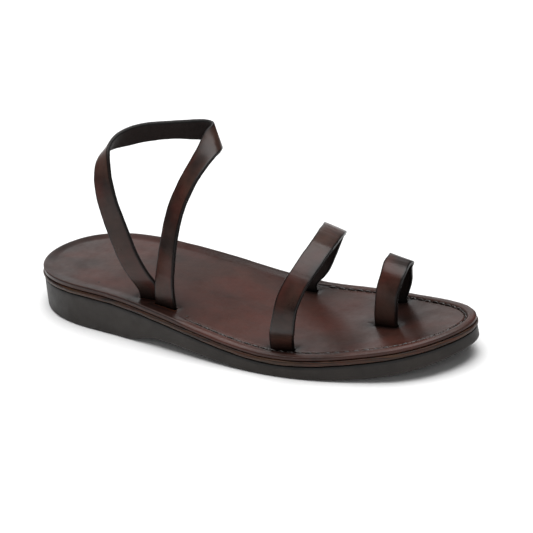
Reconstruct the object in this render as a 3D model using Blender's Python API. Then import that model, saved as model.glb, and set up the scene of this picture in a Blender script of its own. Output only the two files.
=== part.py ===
# Toe ring sandal for the right foot, in metres, +Z up.
# +X runs from heel to toe and +Y points to the inner side of the foot (the big toe's side).
# The origin is on the floor, in the middle of the heel's flat underside.
import math

import bmesh
import bpy
import numpy as np

# driving sizes
LENGTH = 0.250            # back of the heel to the tip of the toe
BALL_WIDTH = 0.0824       # widest place, across the ball of the foot
FOOTBED_THICKNESS = 0.0026
MIDSOLE_THICKNESS = 0.0026
HEEL_HEIGHT = 0.0212      # floor to the footbed's rim at the back of the heel
ARCH_HEIGHT = 0.0046      # hollow under the waist
TOE_SPRING = 0.0090       # how far the tip is off the floor
DISH = 0.0008             # footbed lies this much lower than its rim
BORDER = 0.0065           # width of the footbed's raised rim
FOOTBED_INSET = 0.0013    # footbed is this much smaller all round than the midsole
EDGE_ROUND = 0.0013       # rounding of the leather edges
WELT = 0.0010             # leather stands out this much past the top of the rubber
STRAP_WIDTH = 0.012
RING_WIDTH = 0.013
STRAP_THICKNESS = 0.0020
STRAP_CORNER = 0.0006     # bevel of a strap's cut edges
ANKLE_RISE = 0.0762       # footbed to the top of each loop's middle line
INSTEP_RISE = 0.0468
RING_RISE = 0.0292
FIT_GAP = 0.0003          # clearance between neighbouring pieces

# where the origin is, as a share of LENGTH from the back of the heel
ORIGIN_SHARE = 0.144

SIDE_STATIONS = 50        # outline points on each side, heel to toe
CROSS_CELLS = 4           # points across each body's top and underside

# outline of the leather. x: share of LENGTH. inner, outer: share of BALL_WIDTH.
OUTLINE_COLUMNS = ("x", "inner", "outer")
OUTLINE = (
    (0.03, 0.24, 0.22),
    (0.12, 0.36, 0.39),
    (0.25, 0.365, 0.445),
    (0.40, 0.36, 0.50),
    (0.55, 0.385, 0.54),
    (0.70, 0.465, 0.535),
    (0.85, 0.405, 0.425),
    (0.95, 0.305, 0.26),
)
HEEL_POINT_SHARE = 0.005  # y of the outline's two ends, as shares of BALL_WIDTH
TOE_POINT_SHARE = 0.16

# height of the footbed's rim. x: share of LENGTH. height: share of HEEL_HEIGHT.
RIM_COLUMNS = ("x", "height")
RIM = (
    (0.00, 1.00),
    (0.25, 1.09),
    (0.45, 0.865),
    (0.65, 0.575),
    (0.85, 0.75),
    (1.00, 1.00),
)

# underside. shares of LENGTH where the arch starts, peaks and ends, and the toe lifts off.
ARCH_START_SHARE = 0.285
ARCH_PEAK_SHARE = 0.38
ARCH_END_SHARE = 0.625
SPRING_START_SHARE = 0.70

# middle line of each strap. x: share of LENGTH from the back of the heel. y: share of
# BALL_WIDTH, inner side positive. rise: share of that strap's own rise above the footbed.
# wide_x, wide_y, wide_z: the way the strap's width points there.
STRAP_COLUMNS = ("x", "y", "rise", "wide_x", "wide_y", "wide_z")
ANKLE_PATH = (
    (0.39, -0.31, 0.33, -1.0, 0.3, 0.1),
    (0.40, -0.19, 0.62, -0.9, 0.3, 0.0),
    (0.415, -0.01, 0.82, -0.9, 0.2, 0.0),
    (0.42, 0.10, 0.895, -0.8, 0.2, 0.3),
    (0.42, 0.17, 0.93, -0.5, 0.1, 0.6),
    (0.415, 0.215, 0.94, -0.2, 0.0, 0.8),
    (0.40, 0.225, 0.955, 0.0, -0.1, 0.9),
    (0.37, 0.17, 0.98, 0.2, -0.3, 1.0),
    (0.31, 0.04, 1.00, 0.3, -0.3, 0.9),
    (0.265, -0.09, 0.99, 0.4, -0.3, 0.9),
    (0.25, -0.21, 0.96, 0.7, -0.4, 0.6),
    (0.255, -0.29, 0.89, 0.9, -0.2, 0.4),
    (0.27, -0.36, 0.73, 0.9, 0.0, 0.3),
    (0.295, -0.385, 0.47, 0.9, 0.1, 0.2),
    (0.33, -0.38, 0.18, 1.0, 0.1, 0.1),
)
INSTEP_PATH = (
    (0.695, -0.50, 0.28, -1.0, -0.15, 0.10),
    (0.71, -0.48, 0.58, -1.0, -0.05, 0.15),
    (0.727, -0.36, 0.84, -1.0, 0.0, 0.20),
    (0.73, -0.19, 0.97, -1.0, 0.0, 0.20),
    (0.715, -0.01, 0.98, -1.0, 0.0, 0.25),
    (0.685, 0.17, 0.89, -1.0, 0.0, 0.25),
    (0.65, 0.29, 0.72, -1.0, 0.0, 0.30),
    (0.622, 0.325, 0.48, -1.0, 0.0, 0.30),
    (0.595, 0.30, 0.24, -1.0, -0.1, 0.20),
)
RING_PATH = (
    (0.825, -0.005, 0.35, -1.0, 0.1, 0.0),
    (0.83, 0.01, 0.65, -1.0, 0.1, 0.0),
    (0.835, 0.05, 0.87, -1.0, 0.0, 0.0),
    (0.83, 0.13, 0.97, -1.0, -0.1, 0.1),
    (0.822, 0.21, 0.94, -1.0, -0.1, 0.2),
    (0.807, 0.275, 0.80, -0.9, 0.0, 0.3),
    (0.795, 0.31, 0.54, -0.9, -0.1, 0.3),
    (0.785, 0.315, 0.28, -1.0, -0.1, 0.2),
)

# slots in the footbed. x, y: middle of the slot, in the same shares. turn: degrees that
# the slot is turned from the sandal's length.
ANKLE_SLOT_X_SHARE = 0.365
ANKLE_SLOT_Y_SHARE = -0.36
ANKLE_REAR_DEGREES = 10.0
INSTEP_OUTER_SLOT = (0.675, -0.44, 15.0)
INSTEP_INNER_SLOT = (0.575, 0.265, 8.0)
RING_OUTER_SLOT = (0.822, -0.01, -4.0)
RING_INNER_SLOT = (0.775, 0.31, 6.0)

COLLECTION = "toe_ring_sandal"
COLOURS = {
    "sole_rubber": (0.040, 0.036, 0.032),
    "midsole_leather": (0.055, 0.028, 0.020),
    "footbed_leather": (0.085, 0.040, 0.030),
    "strap_leather": (0.040, 0.022, 0.018),
}


def columns(table, names):
    """Table rows as one array per named column."""
    return dict(zip(names, np.array(table, dtype=float).T))


def curve(knots, values, at, slopes=None, closed=False):
    """Cubic curve through the values, free at its ends, or with given slopes, or closed."""
    knots = np.asarray(knots, dtype=float)
    values = np.asarray(values, dtype=float)
    values = values.reshape(len(knots), -1)
    step = np.diff(knots)
    count = len(knots)
    matrix = np.zeros((count, count))
    right = np.zeros_like(values)
    rate = np.diff(values, axis=0) / step[:, None]
    for i in range(1, count - 1):
        matrix[i, i - 1] = step[i]
        matrix[i, i] = 2 * (step[i - 1] + step[i])
        matrix[i, i + 1] = step[i - 1]
        right[i] = 3 * (step[i] * rate[i - 1] + step[i - 1] * rate[i])
    if closed:
        matrix[0, 0] = 1
        matrix[0, -1] = -1
        matrix[-1, 0] = 2 * (step[-1] + step[0])
        matrix[-1, -2] = step[0]
        matrix[-1, 1] = step[-1]
        right[-1] = 3 * (step[0] * rate[-1] + step[-1] * rate[0])
    elif slopes is None:
        matrix[0, :2] = (2, 1)
        matrix[-1, -2:] = (1, 2)
        right[0] = 3 * rate[0]
        right[-1] = 3 * rate[-1]
    else:
        matrix[0, 0] = 1
        matrix[-1, -1] = 1
        right[0] = slopes[0]
        right[-1] = slopes[1]
    slope = np.linalg.solve(matrix, right)
    at = np.asarray(at, dtype=float)
    cell = np.clip(np.searchsorted(knots, at, side="right") - 1, 0, count - 2)
    width = step[cell][:, None]
    t = (at[:, None] - knots[cell][:, None]) / width
    near = values[cell] * (1 + 2 * t) * (1 - t) ** 2 + slope[cell] * width * t * (1 - t) ** 2
    far = values[cell + 1] * t ** 2 * (3 - 2 * t) + slope[cell + 1] * width * t ** 2 * (t - 1)
    return near + far


def outline():
    """Closed outline of the leather: outer side heel to toe, then inner side back."""
    rows = columns(OUTLINE, OUTLINE_COLUMNS)
    outer = np.stack([rows["x"] * LENGTH, -rows["outer"] * BALL_WIDTH], axis=1)
    inner = np.stack([rows["x"] * LENGTH, rows["inner"] * BALL_WIDTH], axis=1)
    heel = np.array([[0.0, HEEL_POINT_SHARE * BALL_WIDTH]])
    toe = np.array([[LENGTH, TOE_POINT_SHARE * BALL_WIDTH]])
    points = np.concatenate([heel, outer, toe, inner[::-1], heel])
    knots = np.concatenate([[0], np.cumsum(np.linalg.norm(np.diff(points, axis=0), axis=1))])
    fine = curve(knots, points, np.linspace(0, knots[-1], 4001), closed=True)
    fine[:, 0] = (fine[:, 0] - fine[:, 0].min()) * LENGTH / np.ptp(fine[:, 0])
    fine = np.roll(fine[:-1], -int(np.argmin(fine[:-1, 0])), axis=0)
    tip = int(np.argmax(fine[:, 0]))
    turn = np.linspace(0, math.pi, SIDE_STATIONS + 1)
    x = (1 - np.cos(turn)) / 2 * LENGTH
    outer_y = np.interp(x, fine[:tip + 1, 0], fine[:tip + 1, 1])
    back = np.concatenate([fine[tip:], fine[:1]])[::-1]
    inner_y = np.interp(x, back[:, 0], back[:, 1])
    outer_side = np.stack([x, outer_y], axis=1)
    inner_side = np.stack([x, inner_y], axis=1)
    loop = np.concatenate([outer_side, inner_side[1:-1][::-1]])
    loop[:, 0] -= ORIGIN_SHARE * LENGTH
    return loop


def inset(loop, distance):
    """The outline moved inwards by a distance."""
    ahead = np.roll(loop, -1, axis=0) - loop
    behind = loop - np.roll(loop, 1, axis=0)
    ahead /= np.linalg.norm(ahead, axis=1)[:, None]
    behind /= np.linalg.norm(behind, axis=1)[:, None]
    normal_a = np.stack([-ahead[:, 1], ahead[:, 0]], axis=1)
    normal_b = np.stack([-behind[:, 1], behind[:, 0]], axis=1)
    normal = normal_a + normal_b
    normal /= (1 + (normal_a * normal_b).sum(axis=1))[:, None]
    return loop + normal * distance


def share_of(x):
    """Place along the sandal, as a share of its length."""
    return np.clip(np.asarray(x) / LENGTH + ORIGIN_SHARE, 0, 1)


def rim_height(x):
    """Height of the footbed's rim above the floor."""
    rows = columns(RIM, RIM_COLUMNS)
    share = np.atleast_1d(share_of(x))
    return curve(rows["x"], rows["height"], share)[:, 0] * HEEL_HEIGHT


def footbed_top(x, inwards):
    """Height of the footbed, a given distance in from its edge."""
    blend = np.clip(inwards / BORDER, 0, 1)
    return rim_height(x) - DISH * blend * blend * (3 - 2 * blend)


def footbed_under(x):
    return rim_height(x) - FOOTBED_THICKNESS


def midsole_top(x):
    return footbed_under(x) - FIT_GAP


def midsole_under(x):
    return midsole_top(x) - MIDSOLE_THICKNESS


def rubber_top(x):
    return midsole_under(x) - FIT_GAP


def ground_height(x):
    """Height of the rubber's underside: flat heel, arch, flat ball, then toe spring."""
    share = np.atleast_1d(share_of(x))
    height = np.zeros_like(share)
    climb = (share > ARCH_START_SHARE) & (share <= ARCH_PEAK_SHARE)
    fall = (share > ARCH_PEAK_SHARE) & (share < ARCH_END_SHARE)
    t = (share[climb] - ARCH_START_SHARE) / (ARCH_PEAK_SHARE - ARCH_START_SHARE)
    height[climb] = ARCH_HEIGHT * np.sin(t * math.pi / 2) ** 2
    t = (share[fall] - ARCH_PEAK_SHARE) / (ARCH_END_SHARE - ARCH_PEAK_SHARE)
    height[fall] = ARCH_HEIGHT * np.cos(t * math.pi / 2) ** 2
    t = np.clip((share - SPRING_START_SHARE) / (1 - SPRING_START_SHARE), 0, 1)
    return height + TOE_SPRING * t ** 2


def ring_points(loop, height):
    return np.column_stack([loop, height])


def stacked(rings, top_height, under_height):
    """Closed body from rings that run from the middle of the underside up to the top."""
    count = len(rings[0])
    half = count // 2
    vertices = [tuple(p) for ring in rings for p in ring]
    faces = []
    for level in range(len(rings) - 1):
        base = level * count
        for i in range(count):
            j = (i + 1) % count
            faces.append((base + i, base + j, base + count + j, base + count + i))
    for first, height, upward in ((0, under_height, False), ((len(rings) - 1) * count, top_height, True)):
        ring = rings[0] if first == 0 else rings[-1]
        rows = {}
        for i in range(1, half):
            outer = ring[i]
            inner = ring[count - i]
            row = [first + i]
            for k in range(1, CROSS_CELLS):
                place = outer + (inner - outer) * k / CROSS_CELLS
                row.append(len(vertices))
                vertices.append((place[0], place[1], float(height(place[0])[0])))
            row.append(first + count - i)
            rows[i] = row
        flat = []
        for i in range(1, half - 1):
            for k in range(CROSS_CELLS):
                flat.append((rows[i][k], rows[i][k + 1], rows[i + 1][k + 1], rows[i + 1][k]))
        for k in range(CROSS_CELLS):
            flat.append((first, rows[1][k + 1], rows[1][k]))
            flat.append((first + half, rows[half - 1][k], rows[half - 1][k + 1]))
        if upward:
            flat = [face[::-1] for face in flat]
        faces.extend(flat)
    return vertices, faces


def body(name, vertices, faces, material):
    """Mesh object from points and faces, with outward faces."""
    mesh = bpy.data.meshes.new(name)
    mesh.from_pydata([tuple(map(float, v)) for v in vertices], [], faces)
    work = bmesh.new()
    work.from_mesh(mesh)
    bmesh.ops.recalc_face_normals(work, faces=work.faces)
    work.to_mesh(mesh)
    work.free()
    mesh.materials.append(material)
    thing = bpy.data.objects.new(name, mesh)
    bpy.data.collections[COLLECTION].objects.link(thing)
    return thing


def leather_ply(name, loop, top, under, top_height, under_height, material, border):
    """Flat leather sheet with rounded edges."""
    r = EDGE_ROUND
    rings = [ring_points(inset(loop, BORDER), under(inset(loop, BORDER)[:, 0]))]
    low = inset(loop, r * 0.4)
    rings.append(ring_points(low, under(low[:, 0])))
    rings.append(ring_points(loop, under(loop[:, 0]) + r * 0.4))
    rings.append(ring_points(loop, top(loop[:, 0], 0.0) - r))
    for inwards, drop in ((0.30, 0.36), (1.0, 0.0)):
        edge = inset(loop, inwards * r)
        rings.append(ring_points(edge, top(edge[:, 0], 0.0) - drop * r))
    for inwards in border:
        edge = inset(loop, inwards)
        rings.append(ring_points(edge, top(edge[:, 0], inwards)))
    vertices, faces = stacked(rings, top_height, under_height)
    return body(name, vertices, faces, material)


def outsole(loop, material):
    """Rubber sole in one piece with its heel, arch and toe spring."""
    foot = inset(loop, WELT * 0.3)
    tread = inset(loop, WELT * 1.5)
    middle = inset(loop, BORDER)
    rings = [ring_points(middle, ground_height(middle[:, 0]))]
    rings.append(ring_points(tread, ground_height(tread[:, 0])))
    bevel = inset(loop, WELT * 0.65)
    rings.append(ring_points(bevel, ground_height(bevel[:, 0]) + WELT * 0.35))
    rings.append(ring_points(foot, ground_height(foot[:, 0]) + WELT * 1.2))
    crown = inset(loop, WELT)
    rings.append(ring_points(crown, rubber_top(crown[:, 0])))
    inner = inset(loop, BORDER)
    rings.append(ring_points(inner, rubber_top(inner[:, 0])))
    vertices, faces = stacked(rings, rubber_top, ground_height)
    return body("outsole", vertices, faces, material)


def slot_place(slot):
    """Middle of a slot in plan, and the way it runs."""
    x, y, turn = slot
    middle = np.array([(x - ORIGIN_SHARE) * LENGTH, y * BALL_WIDTH])
    angle = math.radians(turn)
    return middle, np.array([math.cos(angle), math.sin(angle)])


def ankle_slots():
    """Front and rear slot of the ankle strap, beside each other."""
    step = 0.44 * STRAP_WIDTH / LENGTH
    shift = (0.55 * STRAP_THICKNESS + 0.5 * FIT_GAP) / BALL_WIDTH
    front = (ANKLE_SLOT_X_SHARE + step, ANKLE_SLOT_Y_SHARE - shift, 0.0)
    rear = (ANKLE_SLOT_X_SHARE - step, ANKLE_SLOT_Y_SHARE + shift, ANKLE_REAR_DEGREES)
    return front, rear


def strap(name, path, rise, width, slots, ways, sections, material):
    """Flat strap that leaves one slot, follows its middle line and enters the other slot."""
    rows = columns(path, STRAP_COLUMNS)
    start, start_way = slot_place(slots[0])
    end, end_way = slot_place(slots[1])
    floor_z = float(rim_height((start[0] + end[0]) / 2)[0]) - DISH
    line = np.column_stack([
        (rows["x"] - ORIGIN_SHARE) * LENGTH,
        rows["y"] * BALL_WIDTH,
        floor_z + rows["rise"] * rise,
    ])
    lift = STRAP_THICKNESS * 0.6
    first = np.append(start, footbed_top(start[0], BORDER) + lift)
    last = np.append(end, footbed_top(end[0], BORDER) + lift)
    line = np.vstack([first, line, last])
    wide = np.column_stack([rows["wide_x"], rows["wide_y"], rows["wide_z"]])
    wide = np.vstack([np.append(start_way * ways[0], 0), wide, np.append(end_way * ways[1], 0)])
    knots = np.concatenate([[0], np.cumsum(np.linalg.norm(np.diff(line, axis=0), axis=1))])
    at = np.linspace(0, knots[-1], sections)
    up = np.array([0.0, 0.0, 1.0])
    middle = curve(knots, line, at, slopes=(up, -up))
    across = curve(knots, wide, at)
    along = np.gradient(middle, axis=0)
    along[0] = up
    along[-1] = -up
    along /= np.linalg.norm(along, axis=1)[:, None]
    square = across - (across * along).sum(axis=1)[:, None] * along
    reach = np.linalg.norm(square, axis=1)[:, None]
    across /= reach
    outward = np.cross(square / reach, along)
    half_w = width / 2
    half_t = STRAP_THICKNESS / 2
    r = STRAP_CORNER
    corner = ((1.0, 0.0), (0.3, 0.3), (0.0, 1.0))
    shape = []
    for sign_w, sign_t in ((1, 1), (-1, 1), (-1, -1), (1, -1)):
        steps = corner if sign_w * sign_t < 0 else corner[::-1]
        for cut_w, cut_t in steps:
            shape.append((sign_w * (half_w - r * cut_w), sign_t * (half_t - r * cut_t)))
    shape = np.array(shape)
    rings = middle[:, None] + across[:, None] * shape[None, :, :1] + outward[:, None] * shape[None, :, 1:]
    tails = []
    for ring in (rings[0], rings[-1]):
        tail = ring.copy()
        tail[:, 2] = footbed_under(tail[:, 0])
        tails.append(tail)
    rings = np.concatenate([tails[0][None], rings, tails[1][None]])
    count = len(shape)
    vertices = rings.reshape(-1, 3)
    faces = []
    for level in range(len(rings) - 1):
        for i in range(count):
            j = (i + 1) % count
            base = level * count
            faces.append((base + i, base + j, base + count + j, base + count + i))
    faces.append(tuple(range(count))[::-1])
    last_base = (len(rings) - 1) * count
    faces.append(tuple(range(last_base, last_base + count)))
    return body(name, vertices, faces, material)


def cut_slot(target, slot, width, cutters, number):
    """Slot through the footbed for one strap end."""
    middle, way = slot_place(slot)
    side = np.array([-way[1], way[0]])
    a = way * (width / 2 + FIT_GAP)
    b = side * (STRAP_THICKNESS / 2 + FIT_GAP)
    low = float(footbed_under(middle[0])[0]) - FOOTBED_THICKNESS
    high = float(footbed_top(middle[0], 0.0)[0]) + FOOTBED_THICKNESS
    corners = [middle + a + b, middle - a + b, middle - a - b, middle + a - b]
    vertices = [(*c, low) for c in corners] + [(*c, high) for c in corners]
    faces = [(3, 2, 1, 0), (4, 5, 6, 7)]
    faces += [(i, (i + 1) % 4, 4 + (i + 1) % 4, 4 + i) for i in range(4)]
    mesh = bpy.data.meshes.new(f"slot_cutter_{number}")
    mesh.from_pydata([tuple(map(float, v)) for v in vertices], [], faces)
    cutter = bpy.data.objects.new(f"slot_cutter_{number}", mesh)
    cutters.objects.link(cutter)
    cutter.hide_render = True
    cutter.display_type = "WIRE"
    cut = target.modifiers.new(f"slot_{number}", "BOOLEAN")
    cut.operation = "DIFFERENCE"
    cut.solver = "EXACT"
    cut.object = cutter


def make_material(name):
    material = bpy.data.materials.new(name)
    material.use_nodes = True
    shader = material.node_tree.nodes["Principled BSDF"]
    shader.inputs["Base Color"].default_value = (*COLOURS[name], 1.0)
    shader.inputs["Roughness"].default_value = 0.55
    material.diffuse_color = (*COLOURS[name], 1.0)
    return material


def clear_scene():
    for thing in list(bpy.data.objects):
        bpy.data.objects.remove(thing, do_unlink=True)


def main():
    clear_scene()
    shelf = bpy.data.collections.new(COLLECTION)
    bpy.context.scene.collection.children.link(shelf)
    cutters = bpy.data.collections.new("cutters")
    bpy.context.scene.collection.children.link(cutters)
    materials = {name: make_material(name) for name in COLOURS}
    loop = outline()

    outsole(loop, materials["sole_rubber"])
    leather_ply(
        "midsole", loop, lambda x, inwards: midsole_top(x), midsole_under,
        midsole_top, midsole_under, materials["midsole_leather"], (BORDER,),
    )
    insole = leather_ply(
        "insole", inset(loop, FOOTBED_INSET), footbed_top, footbed_under,
        lambda x: footbed_top(x, BORDER), footbed_under,
        materials["footbed_leather"], (BORDER * 0.33, BORDER * 0.66, BORDER),
    )
    front, rear = ankle_slots()
    slots = (
        (front, STRAP_WIDTH),
        (rear, STRAP_WIDTH),
        (INSTEP_OUTER_SLOT, STRAP_WIDTH),
        (INSTEP_INNER_SLOT, STRAP_WIDTH),
        (RING_OUTER_SLOT, RING_WIDTH),
        (RING_INNER_SLOT, RING_WIDTH),
    )
    for number, (slot, width) in enumerate(slots, start=1):
        cut_slot(insole, slot, width, cutters, number)

    leather = materials["strap_leather"]
    strap("ankle_strap", ANKLE_PATH, ANKLE_RISE, STRAP_WIDTH, (front, rear), (-1, 1), 72, leather)
    strap("instep_strap", INSTEP_PATH, INSTEP_RISE, STRAP_WIDTH,
          (INSTEP_OUTER_SLOT, INSTEP_INNER_SLOT), (-1, -1), 44, leather)
    strap("toe_ring", RING_PATH, RING_RISE, RING_WIDTH,
          (RING_OUTER_SLOT, RING_INNER_SLOT), (-1, -1), 32, leather)


main()
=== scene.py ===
import math

import bpy
import numpy as np
from mathutils import Matrix, Vector


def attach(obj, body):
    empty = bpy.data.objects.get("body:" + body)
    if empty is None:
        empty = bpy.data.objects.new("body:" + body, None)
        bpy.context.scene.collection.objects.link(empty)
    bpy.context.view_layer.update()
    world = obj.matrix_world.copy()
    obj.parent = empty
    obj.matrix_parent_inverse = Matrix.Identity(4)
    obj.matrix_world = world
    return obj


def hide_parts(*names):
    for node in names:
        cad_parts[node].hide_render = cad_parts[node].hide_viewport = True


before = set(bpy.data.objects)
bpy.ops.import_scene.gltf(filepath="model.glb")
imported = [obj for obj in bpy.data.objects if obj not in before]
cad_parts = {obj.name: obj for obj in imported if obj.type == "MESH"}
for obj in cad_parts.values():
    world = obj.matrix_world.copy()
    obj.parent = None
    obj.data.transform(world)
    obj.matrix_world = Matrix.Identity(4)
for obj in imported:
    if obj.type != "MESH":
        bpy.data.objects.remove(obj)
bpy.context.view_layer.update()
print("frame loaded")

# the shoe's own sizes, in metres. x counts from the back of the heel, y from the middle
shoe = {
    "length": 0.250,
    "ballWidth": 0.0824,
    "heelHeight": 0.0212,
    "originShare": 0.144,   # the row's origin, under the heel
    "dish": 0.0008,         # footbed lower than its rim
    "border": 0.0065,
    "sheet": 0.0026,        # one layer of sole leather
    "glueLine": 0.0003,
    "strapWidth": 0.012,
    "ringWidth": 0.013,
    "strapThickness": 0.0020,
    "slitLength": 0.0045,   # open end of the toe ring's slot, behind the strap
}

# outline of the leather: x share of length, inner and outer side as shares of ballWidth
outlineTable = [
    (0.03, 0.24, 0.22),
    (0.12, 0.36, 0.39),
    (0.25, 0.365, 0.445),
    (0.40, 0.36, 0.50),
    (0.55, 0.385, 0.54),
    (0.70, 0.465, 0.535),
    (0.85, 0.405, 0.425),
    (0.95, 0.305, 0.26),
]
heelPointY = 0.005
toePointY = 0.16

# rim of the footbed: x share of length, height as a share of heelHeight
rimTable = [
    (0.00, 1.00),
    (0.25, 1.09),
    (0.45, 0.865),
    (0.65, 0.575),
    (0.85, 0.75),
    (1.00, 1.00),
]


# smooth step: 3t^2 - 2t^3 between 0 and 1
def smoothStep(t):
    t = np.clip(t, 0.0, 1.0)
    return t * t * (3.0 - 2.0 * t)


# bell curve: exp(-(d / size)^2)
def bell(distance, size):
    return np.exp(-((distance / size) ** 2))


# slow irregular wave: the sum of sines of rising frequency and falling size, with fixed phases
def wobble(along, period, seed, octaves=4):
    phases = np.random.default_rng(seed).uniform(0.0, 2.0 * math.pi, octaves)
    total = np.zeros_like(along)
    for k in range(octaves):
        total += np.sin(along * 2.0 * math.pi / period * (1.7 ** k) + phases[k]) * 0.6 ** k
    return total / 2.0


# cubic curve through knots: solves the tridiagonal system for the slopes, then joins
# neighbouring values with Hermite pieces; ends are free, given, or joined to each other
def curveThrough(knots, values, at, slopes=None, closed=False):
    knots = np.asarray(knots, float)
    values = np.asarray(values, float).reshape(len(knots), -1)
    step = np.diff(knots)
    count = len(knots)
    rate = np.diff(values, axis=0) / step[:, None]
    matrix = np.zeros((count, count))
    right = np.zeros_like(values)
    inside = np.arange(1, count - 1)
    matrix[inside, inside - 1] = step[1:]
    matrix[inside, inside] = 2 * (step[:-1] + step[1:])
    matrix[inside, inside + 1] = step[:-1]
    right[1:-1] = 3 * (step[1:, None] * rate[:-1] + step[:-1, None] * rate[1:])
    if closed:
        matrix[0, 0], matrix[0, -1] = 1, -1
        matrix[-1, 0], matrix[-1, -2], matrix[-1, 1] = 2 * (step[-1] + step[0]), step[0], step[-1]
        right[-1] = 3 * (step[0] * rate[-1] + step[-1] * rate[0])
    elif slopes is None:
        matrix[0, :2], matrix[-1, -2:] = (2, 1), (1, 2)
        right[0], right[-1] = 3 * rate[0], 3 * rate[-1]
    else:
        matrix[0, 0] = matrix[-1, -1] = 1
        right[0], right[-1] = slopes
    slope = np.linalg.solve(matrix, right)
    at = np.asarray(at, float)
    cell = np.clip(np.searchsorted(knots, at, side="right") - 1, 0, count - 2)
    width = step[cell][:, None]
    t = (at[:, None] - knots[cell][:, None]) / width
    near = values[cell] * (1 + 2 * t) * (1 - t) ** 2 + slope[cell] * width * t * (1 - t) ** 2
    far = values[cell + 1] * t ** 2 * (3 - 2 * t) + slope[cell + 1] * width * t ** 2 * (t - 1)
    return near + far


# outline: a closed cubic through the table's points, read at x = length (1 - cos a) / 2 on
# each side, outer side from heel to toe and inner side back
def outlineLoop(sideCount):
    rows = np.array(outlineTable)
    length = shoe["length"]
    width = shoe["ballWidth"]
    outer = np.stack([rows[:, 0] * length, -rows[:, 2] * width], axis=1)
    inner = np.stack([rows[:, 0] * length, rows[:, 1] * width], axis=1)
    heel = np.array([[0.0, heelPointY * width]])
    toe = np.array([[length, toePointY * width]])
    points = np.concatenate([heel, outer, toe, inner[::-1], heel])
    knots = np.concatenate([[0], np.cumsum(np.linalg.norm(np.diff(points, axis=0), axis=1))])
    fine = curveThrough(knots, points, np.linspace(0, knots[-1], 12001), closed=True)
    fine[:, 0] = (fine[:, 0] - fine[:, 0].min()) * length / np.ptp(fine[:, 0])
    fine = np.roll(fine[:-1], -int(np.argmin(fine[:-1, 0])), axis=0)
    tip = int(np.argmax(fine[:, 0]))
    x = (1 - np.cos(np.linspace(0, math.pi, sideCount + 1))) / 2 * length
    outerY = np.interp(x, fine[:tip + 1, 0], fine[:tip + 1, 1])
    back = np.concatenate([fine[tip:], fine[:1]])[::-1]
    innerY = np.interp(x, back[:, 0], back[:, 1])
    loop = np.concatenate([np.stack([x, outerY], 1), np.stack([x, innerY], 1)[1:-1][::-1]])
    loop[:, 0] -= shoe["originShare"] * length
    return loop


# inward normals of a closed loop: each edge's left-hand normal, the two at a point averaged
def inwardNormals(loop):
    ahead = np.roll(loop, -1, axis=0) - loop
    ahead /= np.linalg.norm(ahead, axis=1)[:, None]
    behind = np.roll(ahead, 1, axis=0)
    normal = np.stack([-ahead[:, 1] - behind[:, 1], ahead[:, 0] + behind[:, 0]], axis=1)
    return normal / (1 + (ahead * behind).sum(axis=1))[:, None]


# x of a share of the length, counted from the row's origin
def xAt(share):
    return (share - shoe["originShare"]) * shoe["length"]


# the way back: the share of the length at x, held between heel and toe
def shareAt(x):
    return np.clip(np.asarray(x) / shoe["length"] + shoe["originShare"], 0, 1)


# height of the footbed's rim: a free cubic through rimTable, times heelHeight
def rimHeight(x):
    share = shareAt(x)
    rows = np.array(rimTable)
    height = curveThrough(rows[:, 0], rows[:, 1], share.ravel())[:, 0]
    return height.reshape(share.shape) * shoe["heelHeight"]


# underside: where its stretches start and end, as shares of the length, and its two heights
underside = {
    "archStart": 0.285, "archPeak": 0.38, "archEnd": 0.625, "archHeight": 0.0046,
    "springStart": 0.70, "toeSpring": 0.0090,
}


# height of the underside: level heel, hollow that climbs and falls as sine squared,
# level ball, and a toe spring that grows with the square of the distance
def groundHeight(x):
    u = underside
    share = shareAt(x)
    climb = np.clip((share - u["archStart"]) / (u["archPeak"] - u["archStart"]), 0, 1)
    fall = np.clip((share - u["archPeak"]) / (u["archEnd"] - u["archPeak"]), 0, 1)
    arch = np.where(share < u["archPeak"], np.sin(climb * math.pi / 2), np.cos(fall * math.pi / 2)) ** 2
    spring = np.clip((share - u["springStart"]) / (1 - u["springStart"]), 0, 1)
    return u["archHeight"] * arch + u["toeSpring"] * spring ** 2


# six times the volume inside a closed mesh: sum of a . (b x c) over its triangles, quads split
def signedVolume(vertices, quads, tris):
    corners = np.concatenate([tris, quads[:, [0, 1, 2]], quads[:, [0, 2, 3]]])
    a, b, c = (vertices[corners[:, k]] for k in range(3))
    return (a * np.cross(b, c)).sum()


# new object in the scene
def linked(name, data):
    thing = bpy.data.objects.new(name, data)
    bpy.context.scene.collection.objects.link(thing)
    return thing


# mesh object from arrays; faces are turned round if the signed volume is negative
def makePiece(name, vertices, quads, tris, material, replaced=(), attributes=None):
    quads = np.asarray(quads, int).reshape(-1, 4)
    tris = np.asarray(tris, int).reshape(-1, 3)
    if signedVolume(vertices, quads, tris) < 0:
        quads, tris = quads[:, ::-1], tris[:, ::-1]
    mesh = bpy.data.meshes.new(name)
    mesh.from_pydata(vertices.tolist(), [], quads.tolist() + tris.tolist())
    mesh.update()
    mesh.polygons.foreach_set("use_smooth", np.ones(len(mesh.polygons), bool))
    mesh.materials.append(material)
    piece = linked(name, mesh)
    for key, values in (attributes or {}).items():
        writeAttribute(mesh, key, values)
    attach(piece, "root")
    if replaced:
        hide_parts(*replaced)
    return piece


# one number, or one vector, per vertex
def writeAttribute(mesh, key, values):
    values = np.asarray(values, float)
    if values.ndim == 1:
        mesh.attributes.new(key, "FLOAT", "POINT").data.foreach_set("value", values)
    else:
        mesh.attributes.new(key, "FLOAT_VECTOR", "POINT").data.foreach_set("vector", values.ravel())


# quads between neighbouring rings of equal length
def ringQuads(levels, count):
    level = np.arange(levels - 1)[:, None] * count
    i = np.arange(count)[None, :]
    j = (i + 1) % count
    return np.stack([level + i, level + j, level + count + j, level + count + i], -1).reshape(-1, 4)


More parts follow.
